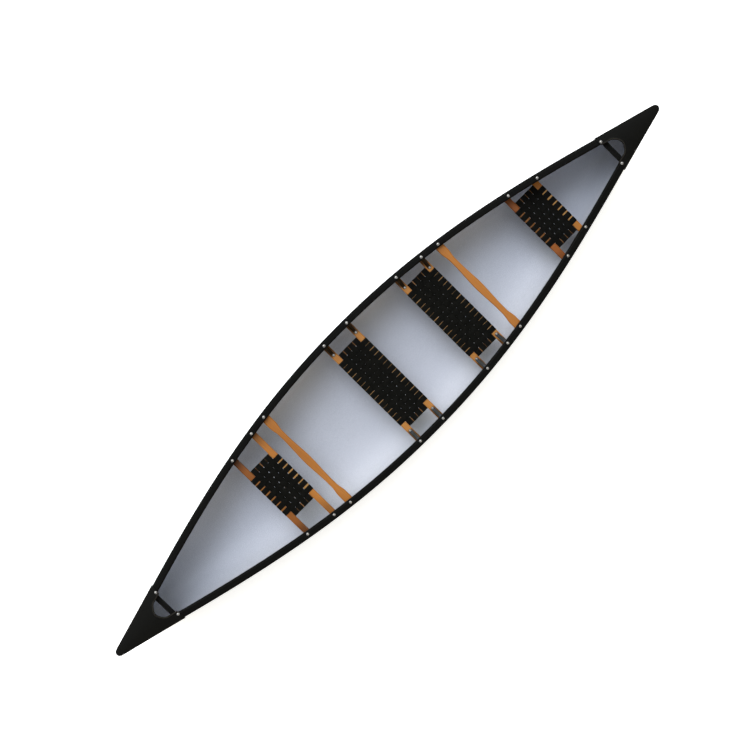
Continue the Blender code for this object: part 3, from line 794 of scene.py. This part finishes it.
for seat, (middle, drop, _, _, seat_half, _) in SEATS.items():
    top = sheer(middle) - drop
    for label, shift in RAILS:
        x = middle + shift
        section = rounded_outline(x - RAIL_WIDTH / 2, x + RAIL_WIDTH / 2, RAIL_THICKNESS, RAIL_ROUND)
        bar = crosswise_bar(np.linspace(-1, 1, RAIL_SECTIONS), lambda _: section, lambda _: top)
        ash = RAIL_ASH.get(f"{seat}_{label}", pale_ash)
        keep_piece(f"{seat}_{label}_bar", bar, ash, "ash_wood", f"{seat}_{label}_rail")
    outer = seat_half - CLOTH - SEAT_GAP
    half_length = (RAIL_SPACING - RAIL_WIDTH) / 2 - SEAT_GAP
    section = rounded_outline(outer - CROSS_WIDTH, outer, RAIL_THICKNESS, CROSS_ROUND)
    for place, side in SIDES:
        lengths = (-half_length, 0.0, half_length)
        bar = solid_through([[(middle + shift, side * y, top - down) for y, down in section] for shift in lengths])
        keep_piece(f"{seat}_{place}_cross_bar", bar, shaded_cross_ash, "ash_wood", f"{seat}_cross_piece_{place}")


# The seats are woven from black polyester webbing, 38 mm when new and a little flattened by use: strips
# fore and aft over the rails and strips crosswise over the cross-pieces, over and under each other, wrapped
# round the frame and stapled below.
STRIPS = {"fore_and_aft": 0.0390, "crosswise": 0.0394}
NEW_STRIP = 0.038
STRIP_THICKNESS = 0.0014
STRIP_STRAY = 0.0014
STRIP_ROUND = 0.49
CROSS_STRIPS = 4
CROSS_PITCH = 0.043
WEAVE_RISE = 0.0009
WEAVE_BENDS = (-0.013, -0.006, 0.006, 0.013)
WRAP_RADIUS = 0.0045
TURNED_UNDER = 0.024
HERRINGBONE = 0.0048
RIB_PITCH = 0.0022
YARN_PITCH = 0.0016
WEBBING_BLACKS = ((0.0010, 0.0011, 0.0008), (0.0046, 0.0048, 0.0038))
DUSTY_BLACK = (0.0072, 0.0072, 0.0060)
strays = np.random.default_rng(16)


def strip_middles(count, pitch, middle):
    """Places of a row of strips, each laid by hand a little off its even place."""
    stray = strays.uniform(-STRIP_STRAY, STRIP_STRAY, count)
    return [middle + pitch * (i - (count - 1) / 2) + stray[i] for i in range(count)]


def strip_path(near, far, bar_width, crossings, first_over, top):
    """Places along and heights of one strip's middle, from staple to staple, round both bars and the weave."""
    lift = STRIP_THICKNESS / 2
    over = top + SEAT_GAP + lift
    under = top - RAIL_THICKNESS - SEAT_GAP - lift
    level = top + SEAT_GAP + CLOTH / 2
    wrap = WRAP_RADIUS + lift

    def round_the_bar(outside, direction):
        edge = outside + direction * (lift + SEAT_GAP)
        bend = round_off(under, edge, wrap, -direction * wrap, np.linspace(0, QUARTER, 6))
        bend += round_off(over, edge, -wrap, -direction * wrap, np.linspace(QUARTER, 0, 6))
        stapled, on_bar = outside - direction * TURNED_UNDER, outside - direction * bar_width
        return [(stapled, under), *((across, height) for height, across in bend), (on_bar, over)]

    path = round_the_bar(near, -1)
    for i, place in enumerate(crossings):
        rise = WEAVE_RISE if (i % 2 == 0) == first_over else -WEAVE_RISE
        path += [(place + bend, level + rise) for bend in WEAVE_BENDS]
    return path + round_the_bar(far, 1)[::-1]


def strips_of(seat):
    """The paths of a seat's fore-and-aft strips and of its crosswise strips."""
    middle, drop, count, pitch, seat_half, _ = SEATS[seat]
    top = sheer(middle) - drop
    long_places = strip_middles(count, pitch, 0.0)
    cross_places = strip_middles(CROSS_STRIPS, CROSS_PITCH, middle)
    near, far = (middle + side * (RAIL_SPACING + RAIL_WIDTH) / 2 for side in (-1, 1))
    outer = seat_half - CLOTH - SEAT_GAP
    fore_and_aft = [
        [(x, y, z) for x, z in strip_path(near, far, RAIL_WIDTH, cross_places, i % 2 == 0, top)]
        for i, y in enumerate(long_places)
    ]
    crosswise = [
        [(x, y, z) for y, z in strip_path(-outer, outer, CROSS_WIDTH, long_places, i % 2 == 1, top)]
        for i, x in enumerate(cross_places)
    ]
    return {"fore_and_aft": fore_and_aft, "crosswise": crosswise}


def paths_mesh(paths):
    """A mesh of edges that follow these paths."""
    points, edges = [], []
    for path in paths:
        edges += [(len(points) + i, len(points) + i + 1) for i in range(len(path) - 1)]
        points += path
    return plain_mesh(points, edges)


def webbing_tree():
    """Lays a flat strip with rounded edges along each path, and maps the cloth on it in metres."""
    tree, given = new_tree("webbing_along_path", {"Strip width": NEW_STRIP, "Strip thickness": STRIP_THICKNESS})

    def mapped(curve, name, value):
        inputs = {"Geometry": curve, "Name": name, "Value": value}
        return add_node(tree, "GeometryNodeStoreNamedAttribute", inputs, data_type="FLOAT", domain="POINT")[0]

    path = add_node(tree, "GeometryNodeMeshToCurve", {0: given["Geometry"]})[0]
    flat = add_node(tree, "GeometryNodeSetCurveNormal", {"Curve": path}, mode="MINIMUM_TWIST")[0]
    along = mapped(flat, "run", add_node(tree, "GeometryNodeSplineParameter", {})["Length"])
    size = {"Width": given["Strip width"], "Height": given["Strip thickness"]}
    section = add_node(tree, "GeometryNodeCurvePrimitiveQuadrilateral", size)[0]
    rounding = arithmetic(tree, "MULTIPLY", given["Strip thickness"], STRIP_ROUND)
    corners = {"Curve": section, "Count": 2, "Radius": rounding}
    soft = add_node(tree, "GeometryNodeFilletCurve", corners, mode="POLY")[0]
    place = add_node(tree, "GeometryNodeInputPosition", {})[0]
    across = mapped(soft, "across", add_node(tree, "ShaderNodeSeparateXYZ", {0: place})["X"])
    swept = {"Curve": along, "Profile Curve": across, "Fill Caps": True}
    return close_tree(tree, given, add_node(tree, "GeometryNodeCurveToMesh", swept)[0])


def woven_polyester():
    """Black webbing: fine ribs across the strip, a herringbone of yarns, and a dusty tone in patches."""
    material, tree, shader, place = new_material("seat_black_webbing")
    run, across = (
        add_node(tree, "ShaderNodeAttribute", {}, attribute_name=name)["Fac"] for name in ("run", "across")
    )
    slanted = arithmetic(tree, "ADD", run, arithmetic(tree, "PINGPONG", across, HERRINGBONE))
    ribs, yarns = (
        arithmetic(tree, "SINE", arithmetic(tree, "MULTIPLY", value, 2 * math.pi / pitch))
        for value, pitch in ((slanted, RIB_PITCH), (across, YARN_PITCH))
    )
    weave = arithmetic(tree, "ADD", ribs, arithmetic(tree, "MULTIPLY", yarns, 0.5))
    tone = speckle(tree, place, 30.0, 4.0)
    color = blended(tree, spread(tree, weave, -1.5, 1.5), *WEBBING_BLACKS)
    color = blended(tree, spread(tree, tone, 0.45, 0.75, 0.0, 0.5), color, DUSTY_BLACK)
    rib_relief = relief(tree, weave, 0.00025, 0.8)
    set_inputs(tree, shader, {"Base Color": color, "Roughness": 0.78, "Specular IOR Level": 0.06, "Normal": rib_relief})
    return material


webbing_layer = webbing_tree()
polyester = woven_polyester()
for seat in SEATS:
    for label, paths in strips_of(seat).items():
        sizes = {"Strip width": STRIPS[label], "Strip thickness": STRIP_THICKNESS, "Finish": polyester}
        mesh = tidied(grow(paths_mesh(paths), webbing_layer, sizes), 50)
        keep_piece(f"{seat}_{label}_webbing", mesh, polyester, "seat_webbing", f"{seat}_webbing")


# The end seats hang on long bolts inside turned ash spacers; the middle ones hang on flat steel straps,
# bent down from under the gunwale and inboard onto the rail, with a rounded foot.
BOLT_INBOARD = 0.0114
SPACER_RADIUS = 0.0065
SPACER_CHAMFER = 0.001
STRAP_WIDTH = 0.026
STRAP_THICKNESS = 0.003
STRAP_FOOT_END = 0.100
STRAP_FOOT_BEND = 0.070
STRAP_TOP_BEND = 0.024
STRAP_BOLT = 0.090
STRAP_BEND_RADIUS = 0.007
STRAP_SECTION = ((-1, -0.8), (-0.97, -1), (0.97, -1), (1, -0.8), (1, 0.8), (0.97, 1), (-0.97, 1), (-1, 0.8))
STRAP_TIP_HALF = 0.0006
STRAP_GREYS = ((0.030, 0.034, 0.040), (0.055, 0.060, 0.068))
# Dark browns painted on the starboard straps as shade under the gunwale.
STRAP_SHADE_BROWNS = ((0.014, 0.009, 0.004), (0.030, 0.020, 0.011))


def bolt_line(x, inboard=BOLT_INBOARD):
    """Half width at which the bolts stand at this place along the canoe."""
    across, away = plan_normal(abs(x))
    return skin_half(abs(x) + inboard * across) - inboard * away


def turned_spacer(x, side, top):
    """A dowel between a rail and the gunwale, with a small chamfer below and its top cut to the slope."""
    y = side * bolt_line(x)
    low = top + SEAT_GAP
    columns = []
    for turn in np.linspace(0, 2 * math.pi, 33)[:-1]:
        foot, wide = (
            (x + radius * math.cos(turn), y + radius * math.sin(turn))
            for radius in (SPACER_RADIUS - SPACER_CHAMFER, SPACER_RADIUS)
        )
        high = flange_height(wide[0]) - 2 * SEAT_GAP
        columns.append([(*foot, low)] + [(*wide, z) for z in (low + SPACER_CHAMFER, (low + high) / 2, high)])
    return solid_through(zip(*columns))


def bent_route(corners, radius):
    """A line through corners, each rounded off, as points."""
    points = [Vector(corners[0])]
    for before, corner, after in zip(corners, corners[1:], corners[2:]):
        before, corner, after = Vector(before), Vector(corner), Vector(after)
        into = (corner - before).normalized()
        away = (after - corner).normalized()
        cut = radius * math.tan(into.angle(away) / 2)
        start, end = corner - into * cut, corner + away * cut
        for share in np.linspace(0, 1, 7):
            points.append(start.lerp(corner, share).lerp(corner.lerp(end, share), share))
    return points + [Vector(corners[-1])]


def hanger_strap(x, side, top):
    """A strap from the wall along under the gunwale, down, and along the rail's top to its round tip."""
    bolt = bolt_line(x)
    half = STRAP_WIDTH / 2
    high = min(flange_height(edge) for edge in (x - half, x + half)) - SEAT_GAP - STRAP_THICKNESS / 2
    foot = top + SEAT_GAP + STRAP_THICKNESS / 2
    corners = [(bar_end(x, high), high), (bolt - STRAP_TOP_BEND, high), (bolt - STRAP_FOOT_BEND, foot)]
    route = bent_route(corners + [(bolt - STRAP_FOOT_END, foot)], STRAP_BEND_RADIUS)
    tip = route.pop()
    for turn in np.linspace(0, QUARTER, 10):
        route.append(Vector((tip.x + half * (1 - math.sin(turn)), foot)))
    rings = []
    for i, point in enumerate(route):
        before, after = route[max(i - 1, 0)], route[min(i + 1, len(route) - 1)]
        run = (after - before).normalized()
        lift = Vector((-run.y, run.x)) * STRAP_THICKNESS / 2
        into_tip = max(0.0, half - (point.x - tip.x)) if point.y < foot + MERGED else 0.0
        width = max(math.sqrt(max(half * half - into_tip * into_tip, 0.0)), STRAP_TIP_HALF)
        ring = [(x + width * across, point + lift * up) for across, up in STRAP_SECTION]
        rings.append([(px, side * y, z) for px, (y, z) in ring])
    return solid_through(rings)


def strap_steel():
    """Dark zinc-plated steel strip, dull and a little blotched, with painted shade in dark brown on the starboard side.
    """
    material, tree, shader, place = new_material("strap_dark_steel")
    blotches = speckle(tree, place, 60.0, 4.0)
    grey, brown = (blended(tree, blotches, *colors) for colors in (STRAP_GREYS, STRAP_SHADE_BROWNS))
    across = add_node(tree, "ShaderNodeSeparateXYZ", {0: place})["Y"]
    # Painted shade: the straps on the starboard side, in the gunwale's shade, are coloured dark brown.
    color = blended(tree, spread(tree, across, -0.05, 0.05), brown, grey)
    rough = rough_between(tree, blotches, 0.34, 0.50)
    pitting = relief(tree, speckle(tree, place, 900.0, 2.0), 0.0002, 0.3)
    set_inputs(tree, shader, {"Base Color": color, "Metallic": 1.0, "Roughness": rough, "Normal": pitting})
    return material


dark_steel = strap_steel()
for seat, (middle, drop, _, _, _, hanger) in SEATS.items():
    top = sheer(middle) - drop
    for label, shift in RAILS:
        for place, side in SIDES:
            node = f"{seat}_{label}_{hanger}_{place}"
            if hanger == "spacer":
                keep_piece(f"{node}_dowel", turned_spacer(middle + shift, side, top), red_ash, "ash_wood", node)
            else:
                keep_piece(f"{node}_bar", hanger_strap(middle + shift, side, top), dark_steel, "hanger_strap", node)


# Everything is held by stainless carriage bolts, their domed heads on washers on the gunwales and decks,
# with a second row through the feet of the straps. Below, each has a washer, a nut and a short end of thread.
HEAD_RADIUS = 0.0078
HEAD_HEIGHT = 0.0034
STRAP_HEAD_RADIUS = 0.0066
STRAP_WASHER_RIM = 0.0012
WASHER_RADIUS = 0.0094
WASHER_THICKNESS = 0.0012
NUT_RADIUS = 0.0064
NUT_HEIGHT = 0.0050
THREAD_RADIUS = 0.0031
THREAD_END = 0.0045
DECK_BOLTS = ((2.070, 0.0234), (-2.105, 0.0163))
STAINLESS = ((0.29, 0.282, 0.262), (0.41, 0.40, 0.375))
WASHER_SIZES = {"Washer radius": WASHER_RADIUS, "Washer thickness": WASHER_THICKNESS}


def points_mesh(points, axes):
    """Loose points, each with the direction in which its fastener stands."""
    mesh = plain_mesh(points)
    attribute = mesh.attributes.new("axis", "FLOAT_VECTOR", "POINT")
    attribute.data.foreach_set("vector", [part for axis in axes for part in axis])
    return mesh


def stand_on_points(tree, given, parts):
    """Stands the joined parts on each point, along its axis."""
    joined = tree.nodes.new("GeometryNodeJoinGeometry")
    for part in parts:
        tree.links.new(part, joined.inputs[0])
    axis = add_node(tree, "GeometryNodeInputNamedAttribute", {"Name": "axis"}, data_type="FLOAT_VECTOR")["Attribute"]
    turned = add_node(tree, "FunctionNodeAlignRotationToVector", {"Vector": axis}, axis="Z")[0]
    stood = {"Points": given["Geometry"], "Instance": joined.outputs[0], "Rotation": turned}
    return close_tree(tree, given, add_node(tree, "GeometryNodeInstanceOnPoints", stood)[0])


def cylinder_part(tree, radius, height, base, corners=32):
    """A short cylinder on the axis, standing at a height that may be another node's output."""
    made = add_node(tree, "GeometryNodeMeshCylinder", {"Vertices": corners, "Radius": radius, "Depth": height})[0]
    middle = arithmetic(tree, "ADD", base, arithmetic(tree, "MULTIPLY", height, 0.5))
    shift = add_node(tree, "ShaderNodeCombineXYZ", {2: middle})[0]
    return add_node(tree, "GeometryNodeTransform", {"Geometry": made, "Translation": shift})[0]


def washer_part(tree, given):
    return cylinder_part(tree, given["Washer radius"], given["Washer thickness"], 0.0)


def bolt_head_tree():
    sizes = {"Head radius": HEAD_RADIUS, "Head height": HEAD_HEIGHT, **WASHER_SIZES}
    tree, given = new_tree("domed_head_on_washer", sizes)
    ball = add_node(tree, "GeometryNodeMeshUVSphere", {"Segments": 32, "Rings": 20, "Radius": 1.0})[0]
    lift = add_node(tree, "ShaderNodeCombineXYZ", {2: given["Washer thickness"]})[0]
    half_sizes = {0: given["Head radius"], 1: given["Head radius"], 2: given["Head height"]}
    stretch = add_node(tree, "ShaderNodeCombineXYZ", half_sizes)[0]
    dome = add_node(tree, "GeometryNodeTransform", {"Geometry": ball, "Translation": lift, "Scale": stretch})[0]
    return stand_on_points(tree, given, [washer_part(tree, given), dome])


def nut_tree():
    sizes = {"Nut radius": NUT_RADIUS, "Nut height": NUT_HEIGHT, **WASHER_SIZES}
    tree, given = new_tree("nut_on_washer", sizes | {"Thread radius": THREAD_RADIUS, "Thread end": THREAD_END})
    nut = cylinder_part(tree, given["Nut radius"], given["Nut height"], given["Washer thickness"], 6)
    above = arithmetic(tree, "ADD", given["Washer thickness"], given["Nut height"])
    thread = cylinder_part(tree, given["Thread radius"], given["Thread end"], above, 20)
    return stand_on_points(tree, given, [washer_part(tree, given), nut, thread])


def stainless():
    """Bright stainless steel, dulled by weather."""
    material, tree, shader, place = new_material("bolt_stainless_steel")
    blotches = speckle(tree, place, 220.0, 4.0)
    color = blended(tree, blotches, *STAINLESS)
    rough = rough_between(tree, blotches, 0.20, 0.36)
    set_inputs(tree, shader, {"Base Color": color, "Metallic": 1.0, "Roughness": rough})
    return material


def slope_axis(x):
    """Straight out of the gunwale's top, which slopes up to the ends."""
    slope = SHEER_POWER * SHEER_RISE * x * abs(x) ** (SHEER_POWER - 2) / SHEER_REACH**SHEER_POWER
    return tuple(Vector((-slope, 0.0, 1.0)).normalized())


through_gunwale, strap_heads, nuts = [], [], []
for middle, drop, _, _, _, hanger in SEATS.values():
    top = sheer(middle) - drop
    for x in (middle + shift for _, shift in RAILS):
        for side in (1, -1):
            y = bolt_line(x)
            through_gunwale.append((x, side * y, sheer(x)))
            if hanger == "spacer":
                nuts.append((x, side * y, top - RAIL_THICKNESS))
            else:
                nuts.append((x, side * y, flange_height(x) - SEAT_GAP - STRAP_THICKNESS))
                strap_heads.append((x, side * (y - STRAP_BOLT), top + SEAT_GAP + STRAP_THICKNESS))
                nuts.append((x, side * (y - STRAP_BOLT), top - RAIL_THICKNESS))
for x in THWARTS.values():
    for side in (1, -1):
        through_gunwale.append((x, side * bolt_line(x), sheer(x)))
        nuts.append((x, side * bolt_line(x), thwart_top(x) - THWART_THICKNESS))
for x, inboard in DECK_BOLTS:
    half, y = deck_half(abs(x)), bolt_line(x, inboard)
    crown = DECK_CROWN * half * (1 - (y / half) ** 2)
    for side in (1, -1):
        through_gunwale.append((x, side * y, sheer(x) + SEAT_GAP + DECK_WALL + crown))
        nuts.append((x, side * y, flange_height(x) - 2 * SEAT_GAP - HANDLE_THICKNESS))

steel = stainless()
head_tree, fastened_tree = bolt_head_tree(), nut_tree()
outwards = [slope_axis(x) for x, _, _ in through_gunwale]
upwards = [(0.0, 0.0, 1.0)] * len(strap_heads)
downwards = [(0.0, 0.0, -1.0)] * len(nuts)
strap_sizes = {"Head radius": STRAP_HEAD_RADIUS, "Washer radius": STRAP_HEAD_RADIUS + STRAP_WASHER_RIM}
for name, points, axes, tree, sizes in (
    ("gunwale_bolt_heads", through_gunwale, outwards, head_tree, {}),
    ("strap_bolt_heads", strap_heads, upwards, head_tree, strap_sizes),
    ("nuts_below", nuts, downwards, fastened_tree, {}),
):
    mesh = shaded(grow(points_mesh(points, axes), tree, {"Finish": steel, **sizes}))
    keep_piece(name, mesh, steel, "stainless_bolt")


# The studio: a pale floor that glows a little, like a light table, so that shadows on it stay faint; a dim
# even sky with bright bluish patches over the starboard side and a weak warm one low to port, behind a
# backdrop that only the camera sees; and the camera high over the canoe, rolled to put the bow low left.
CAMERA_PLACE = (0.078, -0.369, 7.350)
CAMERA_TARGET = (0.0366, -0.0751, 0.370)
CAMERA_LENS = 50.0
CAMERA_SENSOR = 36.0
CAMERA_ROLL = math.radians(45.42)
FLOOR_HALF = 30.0
FLOOR_DOWN = -0.0005
FLOOR_GLOW = 0.62
BACKDROP = (0.90, 0.90, 0.91)
EVEN_SKY = (0.35, 0.345, 0.335)
SKY_TURN = math.radians(9)
SKY_PATCHES = (
    ("starboard", 60, 16.0, (5.35, 5.85, 7.0)),
    ("starboard", 30, 16.0, (2.3, 1.9, 2.2)),
    ("starboard", 20, 4.0, (2.0, 2.0, 1.3)),
    ("port", 10, 6.0, (1.45, 1.15, 0.62)),
)


def studio_floor():
    corners = [(FLOOR_HALF * x, FLOOR_HALF * y, FLOOR_DOWN) for x, y in ((-1, -1), (1, -1), (1, 1), (-1, 1))]
    material, tree, shader, _ = new_material("studio_white")
    white = {"Base Color": (0.90, 0.90, 0.90, 1.0), "Roughness": 0.9, "Specular IOR Level": 0.1}
    glow = {"Emission Color": (1.0, 1.0, 1.0, 1.0), "Emission Strength": FLOOR_GLOW}
    set_inputs(tree, shader, white | glow)
    floor = add_object("studio_floor", plain_mesh(corners, faces=[(0, 1, 2, 3)]))
    floor.data.materials.append(material)


def studio_sky():
    """An even sky with soft patches, each with its side, elevation, sharpness and colour, behind a pale backdrop."""
    world = bpy.data.worlds.new("studio_sky")
    bpy.context.scene.world = world
    world.use_nodes = True
    tree = world.node_tree
    toward = tree.nodes.new("ShaderNodeTexCoord").outputs["Generated"]
    total = add_node(tree, "ShaderNodeCombineXYZ", dict(enumerate(EVEN_SKY)))[0]
    for side, elevation, sharpness, color in SKY_PATCHES:
        level = math.cos(math.radians(elevation))
        abeam = level * (1 if side == "port" else -1) * math.cos(SKY_TURN)
        middle = (-level * math.sin(SKY_TURN), abeam, math.sin(math.radians(elevation)))
        facing = add_node(tree, "ShaderNodeVectorMath", {0: toward, 1: middle}, operation="DOT_PRODUCT")["Value"]
        patch = arithmetic(tree, "POWER", arithmetic(tree, "MAXIMUM", facing, 0.0), sharpness)
        lit = add_node(tree, "ShaderNodeVectorMath", {0: color, "Scale": patch}, operation="SCALE")[0]
        total = add_node(tree, "ShaderNodeVectorMath", {0: total, 1: lit}, operation="ADD")[0]
    seen = tree.nodes.new("ShaderNodeLightPath").outputs["Is Camera Ray"]
    tree.links.new(blended(tree, seen, total, BACKDROP), tree.nodes["Background"].inputs["Color"])


def studio_camera():
    data = bpy.data.cameras.new("studio_camera")
    data.lens = CAMERA_LENS
    data.sensor_width = CAMERA_SENSOR
    camera = add_object("studio_camera", data)
    back = (Vector(CAMERA_PLACE) - Vector(CAMERA_TARGET)).normalized()
    right = Vector((-math.cos(CAMERA_ROLL), math.sin(CAMERA_ROLL), 0.0))
    right = (right - back * right.dot(back)).normalized()
    turned = Matrix((right, back.cross(right), back)).transposed()
    camera.matrix_world = Matrix.Translation(CAMERA_PLACE) @ turned.to_4x4()
    bpy.context.scene.camera = camera


studio_floor()
studio_sky()
studio_camera()
bpy.context.scene.view_settings.view_transform = "Standard"
